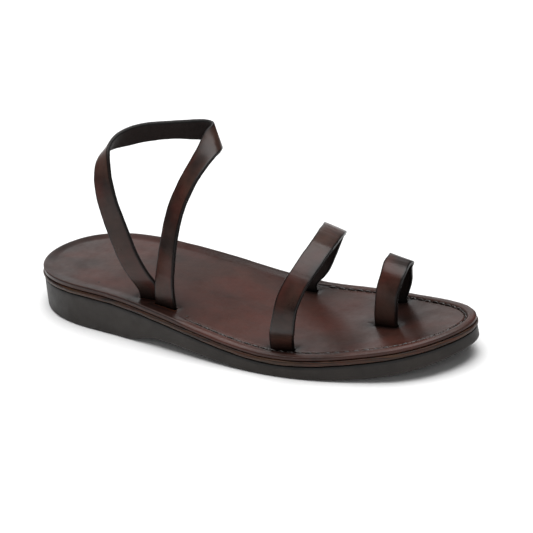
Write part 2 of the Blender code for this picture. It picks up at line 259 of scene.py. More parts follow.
# cap across a ring: rows join outer point i to inner point count - i, each split into cells;
# returns the new points in plan, the quads and the end triangles
def capGrid(ring, firstIndex, newIndex, cells):
    count = len(ring)
    half = count // 2
    i = np.arange(1, half)
    outer, inner = ring[i], ring[count - i]
    t = (np.arange(1, cells) / cells)[None, :, None]
    plan = outer[:, None] * (1 - t) + inner[:, None] * t
    grid = np.empty((half - 1, cells + 1), int)
    grid[:, 0] = firstIndex + i
    grid[:, -1] = firstIndex + count - i
    grid[:, 1:-1] = newIndex + np.arange((half - 1) * (cells - 1)).reshape(half - 1, cells - 1)
    quads = np.stack([grid[:-1, :-1], grid[:-1, 1:], grid[1:, 1:], grid[1:, :-1]], -1).reshape(-1, 4)
    heel = np.stack([np.full(cells, firstIndex), grid[0, 1:], grid[0, :-1]], -1)
    toe = np.stack([np.full(cells, firstIndex + half), grid[-1, :-1], grid[-1, 1:]], -1)
    return plan.reshape(-1, plan.shape[-1]), quads, np.concatenate([heel, toe])


# closed slab: rings from the underside's middle, round the edge, to the top's middle,
# with a cap at both ends; the height functions place the caps' points
def slab(rings, underHeight, topHeight, cells):
    count = len(rings[0])
    vertices = np.concatenate(rings)
    quads = [ringQuads(len(rings), count)]
    tris = []
    for ring, first, height, turned in (
        (rings[0], 0, underHeight, False),
        (rings[-1], (len(rings) - 1) * count, topHeight, True),
    ):
        plan, capQuads, capTris = capGrid(ring[:, :2], first, len(vertices), cells)
        z = height(plan[:, 0], plan[:, 1])
        vertices = np.concatenate([vertices, np.column_stack([plan, z])])
        quads.append(capQuads[:, ::-1] if turned else capQuads)
        tris.append(capTris[:, ::-1] if turned else capTris)
    return vertices, np.concatenate(quads), np.concatenate(tris)


# slots in the footbed, as the CAD cuts them. x share of length, y share of ballWidth, degrees of
# turn, strap width. The ankle strap's two ends lie beside each other
ankleSlot = {"x": 0.365, "y": -0.36, "rearTurn": 10.0, "apart": 0.44, "aside": 0.55}
ankleStep = ankleSlot["apart"] * shoe["strapWidth"] / shoe["length"]
ankleAside = (ankleSlot["aside"] * shoe["strapThickness"] + 0.5 * shoe["glueLine"]) / shoe["ballWidth"]
slotPlaces = {
    "ankleFront": (ankleSlot["x"] + ankleStep, ankleSlot["y"] - ankleAside, 0.0, shoe["strapWidth"]),
    "ankleRear": (ankleSlot["x"] - ankleStep, ankleSlot["y"] + ankleAside, ankleSlot["rearTurn"],
                  shoe["strapWidth"]),
    "instepOuter": (0.675, -0.44, 15.0, shoe["strapWidth"]),
    "instepInner": (0.575, 0.265, 8.0, shoe["strapWidth"]),
    "ringOuter": (0.822, -0.01, -4.0, shoe["ringWidth"]),
    "ringInner": (0.775, 0.31, 6.0, shoe["ringWidth"]),
}


# middle of a slot in plan, the way it runs, and its strap's width
def slotFrame(name):
    x, y, turn, width = slotPlaces[name]
    middle = np.array([xAt(x), y * shoe["ballWidth"]])
    angle = math.radians(turn)
    return middle, np.array([math.cos(angle), math.sin(angle)]), width


# places counted from a slot's middle, along and across it, and its strap's width
def inSlot(x, y, name):
    middle, way, width = slotFrame(name)
    along = (x - middle[0]) * way[0] + (y - middle[1]) * way[1]
    return along, (y - middle[1]) * way[0] - (x - middle[0]) * way[1], width


# distance from a slot's outline: how far a point is past the rectangle along and across, combined
def slotDistance(x, y, name):
    along, across, width = inSlot(x, y, name)
    over = np.maximum(np.abs(along) - width / 2, 0)
    past = np.maximum(np.abs(across) - shoe["strapThickness"] / 2, 0)
    return np.hypot(over, past)


# nearest slot's distance at each point
def anySlotDistance(x, y):
    return np.min([slotDistance(x, y, name) for name in slotPlaces], axis=0)


# distance from the open end of the toe ring's slot, a slit that runs back from the strap
def slitDistance(x, y):
    along, across, width = inSlot(x, y, "ringOuter")
    half = 0.5 * shoe["slitLength"]
    return np.hypot(np.maximum(np.abs(along + 0.5 * width + half) - half, 0), across)


# material in the making: its node tree, its look (colours, patterns and strengths by name) and the
# coordinates that its patterns read, which are the object's own or a vector of its points
class MaterialMaker:
    def __init__(self, name, look, place=None):
        self.material = bpy.data.materials.new(name)
        self.material.use_nodes = True
        self.tree = self.material.node_tree
        self.look = look
        if place:
            self.coords = self.attribute(place, "Vector")
        else:
            self.coords = self.node("TexCoord").outputs["Object"]

    # fills a node's sockets: a value is set, another node's output is linked
    def fill(self, node, inputs):
        for socket, value in inputs.items():
            if isinstance(value, bpy.types.NodeSocket):
                self.tree.links.new(value, node.inputs[socket])
            else:
                node.inputs[socket].default_value = value

    # one shader node: settings are its own properties, inputs are values or other nodes' outputs
    def node(self, kind, inputs=None, **settings):
        node = self.tree.nodes.new("ShaderNode" + kind)
        for key, value in settings.items():
            setattr(node, key, value)
        self.fill(node, inputs or {})
        return node

    # value or vector that the piece's own points carry
    def attribute(self, name, output="Fac"):
        return self.node("Attribute", attribute_name=name).outputs[output]

    # coordinates multiplied along each axis, so that a pattern gets narrower there
    def stretched(self, name):
        inputs = {"Vector": self.coords, "Scale": self.look[name]}
        return self.node("Mapping", inputs).outputs["Vector"]

    # noise: sizeMm is the width of its largest blotches
    def noise(self, sizeMm, detail=3.0, roughness=0.55, distortion=0.0, coords=None):
        return self.node("TexNoise", {
            "Vector": coords or self.coords, "Scale": 1000.0 / sizeMm, "Detail": detail,
            "Roughness": roughness, "Distortion": distortion}).outputs["Fac"]

    # linear change of range, held at both ends
    def ranged(self, value, low, high, toLow=0.0, toHigh=1.0):
        return self.node("MapRange", {"Value": value, "From Min": low, "From Max": high,
                                      "To Min": toLow, "To Max": toHigh}).outputs["Result"]

    # blotches: noise whose values from low to high are spread over 0 to 1, or over another range.
    # columns of a row: size in mm, detail, roughness, distortion, low, high
    def blotches(self, name, toLow=0.0, toHigh=1.0, coords=None):
        *pattern, low, high = self.look[name]
        return self.ranged(self.noise(*pattern, coords=coords), low, high, toLow, toHigh)

    # cells of leather grain: distance to the nearest cell's middle
    def grain(self, sizeMm):
        inputs = {"Vector": self.coords, "Scale": 1000.0 / sizeMm}
        return self.node("TexVoronoi", inputs, feature="SMOOTH_F1").outputs["Distance"]

    # pores: the grain's lowest part alone, up to edge
    def pores(self, sizeMm, edge):
        return self.ranged(self.grain(sizeMm), 0.0, edge)

    # one step of arithmetic on two values
    def calc(self, operation, first, second):
        return self.node("Math", {0: first, 1: second, 2: 0.0}, operation=operation).outputs["Value"]

    # first (1 - factor) + second factor, each another node's output or the name of a colour
    def mixed(self, factor, *colours):
        first, second = (c if isinstance(c, bpy.types.NodeSocket) else (*self.look[c], 1.0)
                         for c in colours)
        return self.node("Mix", {0: factor, 6: first, 7: second}, data_type="RGBA").outputs[2]

    # colour with another tone laid over it, by a share of a pattern's value
    def tinted(self, colour, tone, pattern, share):
        return self.mixed(self.calc("MULTIPLY", pattern, share), colour, tone)

    # leather: dark to brown by its cloud, then some red by its patches, some dark by its fine noise
    def leatherTone(self, fine, patchCoords=None):
        colour = self.mixed(self.blotches("cloud"), "dark", "brown")
        patch = self.blotches("patch", coords=patchCoords)
        colour = self.tinted(colour, "red", patch, self.look["redShare"])
        return self.tinted(colour, "dark", fine, self.look["fineShare"])

    # normal tilted by a pattern's slope: depth of its relief in mm, strength, the normal under it
    def bumped(self, height, depthMm, strength, under=None):
        inputs = {"Height": height, "Distance": depthMm / 1000.0, "Strength": strength}
        if under is not None:
            inputs["Normal"] = under
        return self.node("Bump", inputs).outputs["Normal"]

    # relief: one bump on another. columns of a row: pattern, its values, depth in mm, strength
    def relief(self, under=None):
        for pattern, values, depthMm, strength in self.look["relief"]:
            under = self.bumped(getattr(self, pattern)(*values), depthMm, strength, under)
        return under

    # the finished material: these inputs and the look's fixed values go to the shader
    def finished(self, **inputs):
        names = {"colour": "Base Color", "rough": "Roughness", "normal": "Normal"}
        wanted = {names[key]: value for key, value in inputs.items()}
        self.fill(self.tree.nodes["Principled BSDF"], {**wanted, **self.look["finish"]})
        return self.material


footbedLook = {
    "dark": (0.018, 0.0072, 0.0052),
    "brown": (0.054, 0.0205, 0.0142),
    "red": (0.074, 0.0185, 0.0125),
    # near black, mixed in as painted shade near the slots, in the seam's groove and at the slit, and to
    # darken the unstitched rim
    "dyeAndPaintedShade": (0.0050, 0.0025, 0.0020),
    # pale tone for the arris and the seam's lip: a painted highlight
    "paleHighlight": (0.16, 0.11, 0.10),
    "side": (0.036, 0.0105, 0.0055),
    "cloud": (42.0, 4.0, 0.6, 0.4, 0.34, 0.68),
    "patch": (30.0, 3.0, 0.55, 0.0, 0.42, 0.66),
    "patchStretch": (0.7, 1.6, 1.0),
    "fine": (3.2, 5.0, 0.65, 0.0, 0.30, 0.75),
    "sheen": (12.0, 5.0, 0.7, 0.0, 0.3, 0.7),
    "redShare": 0.65,
    "fineShare": 0.35,
    "wornAndHighlight": (0.1, 0.9, 0.45, 1.0),   # highlight painted in patches, nowhere less than 0.45
    "relief": [
        ("noise", (9.0, 4.0, 0.55), 0.25, 0.30),
        ("grain", (0.55,), 0.06, 0.35),
        ("pores", (1.6, 0.22), 0.05, 0.35),
    ],
    "roughness": (0.28, 0.46),
    "finish": {"Specular IOR Level": 0.27, "Coat Weight": 0.04, "Coat Roughness": 0.25, "IOR": 1.45},
}


# footbed: brown with redder and darker blotches, painted shade where straps shade it, in the seam's groove
# and at the slit, darker along the unstitched rim, nearly black on the cut edge, a painted highlight along
# the arris; fine grain and pores as bump
def footbedLeather():
    make = MaterialMaker("footbedLeather", footbedLook)
    fine = make.blotches("fine")
    colour = make.leatherTone(fine, make.stretched("patchStretch"))
    # painted shade: darker near the slots, in the seam's groove, at the slit and along the unstitched rim
    colour = make.mixed(make.attribute("shade"), colour, "dyeAndPaintedShade")
    colour = make.mixed(make.attribute("cutEdgeAndRootShade"), colour, "side")
    # painted highlight along the arris and on the seam's lip, patchy by the fine noise
    wornAndHighlight = make.ranged(fine, *footbedLook["wornAndHighlight"])
    colour = make.tinted(colour, "paleHighlight", make.attribute("arrisHighlight"), wornAndHighlight)
    rough = make.blotches("sheen", *footbedLook["roughness"])
    return make.finished(colour=colour, rough=rough, normal=make.relief())


strapLook = {
    "dark": (0.013, 0.0065, 0.0052),
    "brown": (0.056, 0.0275, 0.0200),
    "red": (0.066, 0.0155, 0.0115),
    # near black: the dye of the cut edges, and painted shade where the strap goes into its slots
    "dyeAndPaintedShade": (0.0016, 0.0012, 0.0011),
    "flesh": (0.0060, 0.0030, 0.0025),
    "fleshFibre": (0.020, 0.0105, 0.0080),
    "cloud": (26.0, 3.0, 0.55, 0.3, 0.36, 0.66),
    "patch": (17.0, 2.0, 0.55, 0.0, 0.45, 0.68),
    "fine": (1.4, 4.0, 0.6, 0.0, 0.3, 0.75),
    "sheen": (8.0, 5.0, 0.7, 0.0, 0.3, 0.7),
    "redShare": 0.55,
    "fineShare": 0.25,
    "fibre": (1.1, 5.0, 0.75),
    "fibreStretch": (1.0, 2.4, 1.0),
    "fibreEnds": (0.42, 0.72),
    "relief": [("noise", (6.0, 3.0, 0.5), 0.16, 0.28), ("grain", (0.45,), 0.04, 0.30)],
    "napBump": (0.25, 0.7),
    "roughness": (0.26, 0.40),
    "fleshRougher": 0.38,
    "finish": {"Specular IOR Level": 0.28, "Coat Weight": 0.04, "Coat Roughness": 0.2, "IOR": 1.45},
}


# strap leather: glossy brown grain side with cloudy tone, black dyed edges, painted shade where it goes into
# its slots, matt fibrous flesh side. strapPlace holds metres along and across; grainSide is 1 on the outer
# face, 0 inside
def strapLeather():
    look = strapLook
    make = MaterialMaker("strapLeather", look, "strapPlace")
    grainSide = make.attribute("grainSide")
    fleshSide = make.calc("SUBTRACT", 1.0, grainSide)
    outside = make.leatherTone(make.blotches("fine"))
    fibre = make.noise(*look["fibre"], coords=make.stretched("fibreStretch"))
    inside = make.mixed(make.ranged(fibre, *look["fibreEnds"]), "flesh", "fleshFibre")
    colour = make.mixed(grainSide, inside, outside)
    # dyed cut edges, and painted shade near the strap's roots
    colour = make.mixed(make.attribute("cutEdgeAndRootShade"), colour, "dyeAndPaintedShade")
    nap = make.calc("MULTIPLY", fibre, fleshSide)
    normal = make.bumped(nap, *look["napBump"], make.relief())
    gloss = make.blotches("sheen", *look["roughness"])
    rough = make.calc("ADD", gloss, make.calc("MULTIPLY", fleshSide, look["fleshRougher"]))
    return make.finished(colour=colour, rough=rough, normal=normal)


midsoleLook = {
    "dark": (0.0060, 0.0025, 0.0018),
    "brown": (0.056, 0.0150, 0.0050),
    "olive": (0.044, 0.0200, 0.0060),
    "cloud": (14.0, 4.0, 0.6, 0.0, 0.35, 0.68),
    "layers": (0.7, 4.0, 0.7),
    "layerStretch": (0.035, 0.035, 1.0),
    "layerEnds": (0.40, 0.62),
    "layerBump": (0.30, 0.7),
    "relief": [("noise", (1.2, 4.0, 0.7), 0.10, 0.4)],
    "finish": {"Roughness": 0.46, "Specular IOR Level": 0.28},
}


# cut edge of the lower leather layer: burnished brown, with fine layers that run along the edge
def midsoleLeather():
    look = midsoleLook
    make = MaterialMaker("midsoleLeather", look)
    layers = make.noise(*look["layers"], coords=make.stretched("layerStretch"))
    colour = make.mixed(make.blotches("cloud"), "brown", "olive")
    colour = make.mixed(make.ranged(layers, *look["layerEnds"]), colour, "dark")
    return make.finished(colour=colour, normal=make.relief(make.bumped(layers, *look["layerBump"])))


rubberLook = {
    "black": (0.0090, 0.0062, 0.0046),
    "grey": (0.0185, 0.0138, 0.0108),
    # painted shade under the overhanging leather
    "paintedShadeBand": (0.0028, 0.0020, 0.0016),
    "dust": (0.040, 0.036, 0.032),
    "cloud": (30.0, 4.0, 0.6, 0.0, 0.35, 0.65),
    "speck": (0.9, 4.0, 0.7, 0.0, 0.55, 0.80),
    "speckShare": 0.35,
    "relief": [("noise", (0.8, 4.0, 0.6), 0.05, 0.45), ("noise", (14.0, 3.0, 0.5), 0.15, 0.25)],
    "sheen": (10.0, 5.0, 0.7, 0.0, 0.3, 0.7),
    "roughness": (0.46, 0.62),
    "finish": {"Specular IOR Level": 0.3},
}


# moulded rubber: dark grey, painted shade as a darker band just under the leather's overhang, a trace of
# dust and fine speckle
def soleRubber():
    make = MaterialMaker("soleRubber", rubberLook)
    colour = make.mixed(make.blotches("cloud"), "black", "grey")
    colour = make.tinted(colour, "dust", make.blotches("speck"), rubberLook["speckShare"])
    colour = make.mixed(make.attribute("shadeUnderLeather"), colour, "paintedShadeBand")
    rough = make.blotches("sheen", *rubberLook["roughness"])
    return make.finished(colour=colour, rough=rough, normal=make.relief())


threadLook = {
    "dark": (0.0040, 0.0020, 0.0016),
    "light": (0.018, 0.0085, 0.0060),
    "twist": {"Scale": 0.32, "Distortion": 0.6, "Detail": 2.0},
    "twistBump": (0.12, 0.6),
    "finish": {"Roughness": 0.35},
}


# waxed thread: nearly black, with the slant of its twist
def waxedThread():
    make = MaterialMaker("waxedThread", threadLook, "threadPlace")
    inputs = {"Vector": make.coords, **threadLook["twist"]}
    twist = make.node("TexWave", inputs, bands_direction="DIAGONAL").outputs["Fac"]
    normal = make.bumped(twist, *threadLook["twistBump"])
    return make.finished(colour=make.mixed(twist, "dark", "light"), normal=normal)


tackLook = {
    "dark": (0.008, 0.006, 0.005),
    "wornAndHighlight": (0.030, 0.022, 0.018),
    "wear": (0.5, 3.0),
    "finish": {"Roughness": 0.5, "Metallic": 0.3},
}


# tack heads: dark metal, mixed with a lighter worn tone by fine noise
def tackMetal():
    make = MaterialMaker("darkTack", tackLook)
    return make.finished(colour=make.mixed(make.noise(*tackLook["wear"]), "dark", "wornAndHighlight"))


# points moved inwards from a loop by a distance, or by one for each point, at the height that
# a function gives for their x
def ringAt(loop, normals, inwards, height):
    plan = loop + normals * np.reshape(inwards, (-1, 1))
    return np.column_stack([plan, height(plan[:, 0])])


rubberSize = {
    "welt": 0.0010,
    "sideInset": 0.3,       # these five are shares of the welt: foot of the side,
    "sideSlope": 0.35,      # how much further in its top is,
    "lowRound": 1.2,        # rounding of the lower and of the upper edge,
    "topRound": 0.2,
    "topRings": (0.8, 1.3, 6.0),   # rings over the top edge
    "underInset": 0.0015, "underRings": (0.0090, 0.0060, 0.0035),
    # band: painted shade, a dark line on the rubber under the overhanging leather
    "band": 0.0013, "bandFade": 0.0007,   # dark line under the leather
    "roundSteps": 6, "sideSteps": 16, "count": 420, "cells": 24,
}


# rubber sole: rings from the middle of the underside, round the lower edge, up the side with a
# slight slope, over the top edge to the middle of the top
def makeRubberSole(outline, normals, material):
    size = rubberSize
    welt = size["welt"]
    underIn = size["underInset"]
    lowRound = size["lowRound"] * welt

    def top(x):
        return rimHeight(x) - 2 * shoe["sheet"] - 2 * shoe["glueLine"]

    def side(x, t):
        low = groundHeight(x) + lowRound
        return low + (top(x) - size["topRound"] * welt - low) * t

    rings = [ringAt(outline, normals, inwards, groundHeight) for inwards in (*size["underRings"], underIn)]
    for turn in np.linspace(0, math.pi / 2, size["roundSteps"])[1:]:
        inwards = underIn - (underIn - size["sideInset"] * welt) * math.sin(turn)
        rise = lowRound * (1 - math.cos(turn))
        rings.append(ringAt(outline, normals, inwards, lambda x: groundHeight(x) + rise))
    for t in np.linspace(0, 1, size["sideSteps"])[1:]:
        inwards = welt * (size["sideInset"] + size["sideSlope"] * t)
        rings.append(ringAt(outline, normals, inwards, lambda x: side(x, t)))
    rings += [ringAt(outline, normals, share * welt, top) for share in size["topRings"]]
    vertices, quads, tris = slab(rings, lambda x, y: groundHeight(x), lambda x, y: top(x), size["cells"])
    # painted shade: darker in a band just under the leather
    under = smoothStep((size["band"] - (top(vertices[:, 0]) - vertices[:, 2])) / size["bandFade"] + 0.5)
    return makePiece("rubberSole", vertices, quads, tris, material, ("outsole",),
                     {"shadeUnderLeather": under})


midsoleSize = {
    "edgeBulge": 0.00025,
    "corner": 0.0006,
    "waver": 0.00018, "waverLength": 0.019, "seed": 5,
    "waverLoss": 0.4,       # how much less the edge wavers at the top
    "rings": (0.0070, 0.0030), "sideSteps": 11, "cells": 12,
}


# lower leather layer: the same outline; its edge is a bulge of edgeBulge (1 - s^2) with corners
# cut back by corner s^6, s from -1 below to 1 above, and it wavers
def makeMidsole(outline, normals, along, material):
    size = midsoleSize

    def top(x):
        return rimHeight(x) - (shoe["sheet"] + shoe["glueLine"])

    def under(x):
        return top(x) - shoe["sheet"]

    waver = size["waver"] * wobble(along, size["waverLength"], size["seed"])
    rings = [ringAt(outline, normals, inwards, under) for inwards in size["rings"]]
    for t in np.linspace(0, 1, size["sideSteps"]):
        s = abs(2 * t - 1)
        inwards = size["corner"] * s ** 6 - size["edgeBulge"] * (1 - s ** 2) + size["edgeBulge"]
        inwards = inwards + waver * (1 - size["waverLoss"] * t) + size["waver"]
        rings.append(ringAt(outline, normals, inwards, lambda x: top(x) - shoe["sheet"] * (1 - t)))
    rings += [ringAt(outline, normals, inwards, top) for inwards in size["rings"][::-1]]
    vertices, quads, tris = slab(rings, lambda x, y: under(x), lambda x, y: top(x), size["cells"])
    return makePiece("midsoleLayer", vertices, quads, tris, material, ("midsole",))


seam = {
    "start": 0.470,         # share of length on the outer side
    "end": 0.600,           # share of length on the inner side
    "fade": 0.012,          # stretch over which it begins and ends
    "fromEdge": 0.0050,
    "pitch": 0.0050,
    "stitch": 0.0042,
    "stitchSpread": 0.04,
    "shiftSpread": 0.00012,
    "slant": 0.00022,
    "threadRadius": 0.00055,
    "endTaper": 0.25,
    "lift": 0.00055,        # crest of a stitch over the groove's floor
    "sink": 0.0010,         # its ends below it
    "grooveDepth": 0.00060,
    "grooveWidth": 0.00085,
    "lipOut": 0.0013,       # raised lip this far outside the stitches, with a painted highlight on it
    "lipHeight": 0.00016,
    "rings": 13,
    "sides": 10,
    "seed": 23,
}

footbedSize = {
    "inset": 0.0007,
    "round": 0.0009,
    "roundHigh": 0.75,      # shares of it, up and inwards
    "roundWide": 0.8,
    "lowEdge": 0.0004,
    "sideDrop": 0.8,        # share of crestDrop by which the stitched side is lower
    "sideCount": 430,
    "cells": 64,
    "crest": 0.0014,        # the border is highest this far from its edge,
    "stitchedCrest": 0.0018,   # and this much further in where it is stitched
    "crestDrop": 0.00085,   # how far the stitched border slopes down to the edge
    "slotDent": 0.00045, "slotDentReach": 0.0022,
    "slitDent": 0.0003, "slitDentReach": 0.0005,
    "waver": 0.00012, "waverLength": 0.023, "seed": 11,
    "underRings": (0.0060, 0.0004), "ringPitch": 0.0003, "borderRings": 0.0100,
}

# slow swells of the footbed's top: height and wave lengths in metres
swells = {
    "height": 0.00012, "longX": 0.0085, "longY": 0.0105, "bend": 2.0, "bendY": 0.013, "slantX": 0.031,
    "short": 0.6, "shortX": 0.0041, "shortY": 0.006, "shortReach": 0.03, "fadeIn": 0.008,
}


# share of the way round the loop at which the outer or inner side reaches a share of the length
def loopPlace(loop, along, share, outerSide):
    x = xAt(share)
    half = len(loop) // 2
    if outerSide:
        return float(np.interp(x, loop[:half + 1, 0], along[:half + 1]))
    back = np.append(np.arange(half, len(loop)), 0)
    values = np.append(along[half:], along[-1] + np.linalg.norm(loop[0] - loop[-1]))
    return float(np.interp(-x, -loop[back, 0], values))


# distance along a line of points from its first one
def loopLength(loop):
    return np.concatenate([[0], np.cumsum(np.linalg.norm(np.diff(loop, axis=0), axis=1))])


# swells: height (sin(x + bend sin y) sin(y + x) + short sin(x + y)), each over its own length
def swellHeight(x, y):
    w = swells
    long = np.sin(x / w["longX"] + w["bend"] * np.sin(y / w["bendY"]))
    long *= np.sin(y / w["longY"] + x / w["slantX"])
    short = w["short"] * np.sin(x / w["shortX"] + y / w["shortY"]) * bell(y, w["shortReach"])
    return w["height"] * (long + short)


# height of the footbed above the plain rim: dish + border that slopes from its crest to the edge
# + groove and lips of the seam + dents round the slots + slow swells
def footbedRelief(x, y, inwards, stitched):
    s = footbedSize
    crest = np.where(stitched > 0, s["crest"] + s["stitchedCrest"] * stitched, s["crest"])
    rimEnd = 0.4 * crest
    dip = -shoe["dish"] * smoothStep((inwards - rimEnd) / (shoe["border"] - rimEnd))
    slope = -s["crestDrop"] * stitched * np.clip(1 - inwards / crest, 0, 1) ** 1.7
    gap = inwards - seam["fromEdge"]
    groove = -seam["grooveDepth"] * bell(gap, seam["grooveWidth"]) * np.minimum(stitched * 1.2, 1)
    lips = bell(gap + seam["lipOut"], 0.0006) + 0.8 * bell(gap - seam["lipOut"], 0.0007)
    dents = -s["slotDent"] * bell(anySlotDistance(x, y), s["slotDentReach"])
    dents = dents - s["slitDent"] * bell(slitDistance(x, y), s["slitDentReach"])
    waves = swellHeight(x, y) * smoothStep(inwards / swells["fadeIn"])
    return dip + slope + groove + seam["lipHeight"] * stitched * lips + dents + waves


# how far a stretch of the edge is stitched: 1 between the seam's ends, fading beyond them
def stitchedShare(along, first, last):
    fade = seam["fade"]
    return smoothStep((along - first) / fade + 1) * smoothStep((last - along) / fade + 1)


# footbed: side and rounded rim, then close rings over the border, then rows across.
# the rounded rim is a quarter of an ellipse: in wide (1 - cos a), down high (1 - sin a)
def makeFootbed(material):
    s = footbedSize
    outer = outlineLoop(s["sideCount"])
    loop = outer + inwardNormals(outer) * s["inset"]
    normals = inwardNormals(loop)
    along = loopLength(loop)
    first = loopPlace(loop, along, seam["start"], True)
    last = loopPlace(loop, along, seam["end"], False)
    stitched = stitchedShare(along, first, last)
    ends = np.sin(np.pi * np.arange(len(along)) / len(along)) ** 0.5
    waver = s["waver"] * wobble(along, s["waverLength"], s["seed"]) * ends
    high, wide = s["round"] * s["roundHigh"], s["round"] * s["roundWide"]

    def under(x):
        return rimHeight(x) - shoe["sheet"]

    def side(x, t):
        low = under(x) + s["lowEdge"]
        return low + (rimHeight(x) - high - s["crestDrop"] * stitched * s["sideDrop"] - low) * t

    def topHeight(x, y):
        return rimHeight(x) + footbedRelief(x, y, np.full_like(x, 0.011), np.zeros_like(x))

    def reliefRing(inwards, shift, drop):
        ring = loop + normals * (inwards + shift)[:, None]
        relief = footbedRelief(ring[:, 0], ring[:, 1], inwards, stitched)
        return np.column_stack([ring, rimHeight(ring[:, 0]) - drop + relief])

    rings = [ringAt(loop, normals, inwards, under) for inwards in s["underRings"]]
    rings += [ringAt(loop, normals, waver, lambda x: side(x, t)) for t in np.linspace(0, 1, 7)]
    for turn in np.linspace(0, math.pi / 2, 8)[1:]:
        inwards = wide * (1 - math.cos(turn))
        drop = high * (1 - math.sin(turn)) * (1 - 0.35 * stitched)
        rings.append(reliefRing(inwards, waver, drop))
    for inwards in np.arange(inwards + s["ringPitch"], s["borderRings"], s["ringPitch"]):
        rings.append(reliefRing(inwards, waver * (1 - inwards / s["borderRings"]), 0.0))
    vertices, quads, tris = slab(rings, lambda x, y: under(x), topHeight, s["cells"])
    piece = makePiece("footbed", vertices, quads, tris, material, ("insole",))
    cutSlots(piece)
    paintFootbed(piece, loop, along, first, last)
    return piece, loop, normals, along, first, last


# one mesh of six boxes, one for each slot, taken out of the footbed in a single exact cut
def cutSlots(piece):
    corners = []
    for name in slotPlaces:
        middle, way, width = slotFrame(name)
        a = way * (width / 2 + shoe["glueLine"])
        b = np.array([-way[1], way[0]]) * (shoe["strapThickness"] / 2 + shoe["glueLine"])
        base = float(rimHeight(middle[0]))
        plan = [middle + a + b, middle - a + b, middle - a - b, middle + a - b]
        for height in (base - 2 * shoe["sheet"], base + shoe["sheet"]):
            corners += [(float(x), float(y), height) for x, y in plan]
    box = np.array([(3, 2, 1, 0), (4, 5, 6, 7), (0, 1, 5, 4), (1, 2, 6, 5), (2, 3, 7, 6), (3, 0, 4, 7)])
    faces = np.concatenate([box + 8 * k for k in range(len(slotPlaces))])
    mesh = bpy.data.meshes.new("slotBoxes")
    mesh.from_pydata(corners, [], faces.tolist())
    cutter = linked("slotBoxes", mesh)
    cut = piece.modifiers.new("slots", "BOOLEAN")
    cut.operation = "DIFFERENCE"
    cut.solver = "EXACT"
    cut.object = cutter
    ready = piece.evaluated_get(bpy.context.evaluated_depsgraph_get())
    done = bpy.data.meshes.new_from_object(ready)
    piece.modifiers.clear()
    old = piece.data
    piece.data = done
    done.name = "footbed"
    bpy.data.meshes.remove(old)
    bpy.data.objects.remove(cutter, do_unlink=True)
    bpy.data.meshes.remove(mesh)


# distance from points to the nearest point of a loop, and that point's index, in slices
def nearestOnLoop(points, loop):
    distance = np.empty(len(points))
    index = np.empty(len(points), int)
    size = 8000
    for start in range(0, len(points), size):
        gaps = ((points[start:start + size, None] - loop[None]) ** 2).sum(-1)
        index[start:start + size] = gaps.argmin(1)
        distance[start:start + size] = np.sqrt(gaps.min(1))
    return distance, index


# tones of the footbed: strength, and how far each reaches in metres; slot, strap, seam and slit paint shade,
# rim darkens the unstitched border, arris and lip paint a highlight
footbedTone = {
    "slot": (0.8, 0.0024),
    "strap": (0.5, 0.010),
    "seam": (0.85, 0.0007),
    "rim": (0.55, 0.006),
    "slit": (0.9, 0.0004),
    "most": 0.95,
    "sideBelow": 0.0009,
    "sideFade": 0.0005,
    "arrisHighlight": 0.35,
    "arrisPlace": (0.5, 0.0011, 0.0018),   # half of a crest, and of what stitching adds to it
    "arrisReach": 0.00025,
    "topDepth": 0.0022,
    "lip": (0.7, 0.0003),
}


# each tone is a bell over its distance: painted shade near the slots, in the seam's groove and at the slit,
# darker along the unstitched rim, a painted highlight on the arris and on the lip outside the seam; the dyed
# side starts below the rounded rim
def paintFootbed(piece, loop, along, first, last):
    tone = footbedTone

    def toned(name, distance):
        strength, reach = tone[name]
        return strength * bell(distance, reach)

    mesh = piece.data
    points = np.empty(len(mesh.vertices) * 3)
    mesh.vertices.foreach_get("co", points)
    x, y, z = points.reshape(-1, 3).T
    inwards, index = nearestOnLoop(np.column_stack([x, y]), loop)
    stitched = stitchedShare(along[index], first, last)
    rim = rimHeight(x)
    gap = inwards - seam["fromEdge"]
    slots = anySlotDistance(x, y)
    # painted shade near the slots, in the seam's groove and at the slit; darker along the unstitched rim
    shade = toned("slot", slots) + toned("strap", slots) + stitched * toned("seam", gap)
    shade += toned("rim", inwards) * (1 - stitched) + toned("slit", slitDistance(x, y))
    sideTop = rim - tone["sideBelow"] - footbedSize["crestDrop"] * stitched
    share, crest, stitchedCrest = tone["arrisPlace"]
    middle = share * (crest + stitchedCrest * stitched)
    pale = bell(inwards - middle, tone["arrisReach"] * (1 + stitched))
    # painted highlight on the top of the arris and on the lip outside the seam
    arrisHighlight = np.where(z > rim - tone["topDepth"], pale, 0)
    arrisHighlight = np.maximum(arrisHighlight, stitched * toned("lip", gap + seam["lipOut"]))
    writeAttribute(mesh, "shade", np.clip(shade, 0, tone["most"]))
    writeAttribute(mesh, "cutEdgeAndRootShade", tone["most"] * smoothStep((sideTop - z) / tone["sideFade"]))
    writeAttribute(mesh, "arrisHighlight", tone["arrisHighlight"] * arrisHighlight)


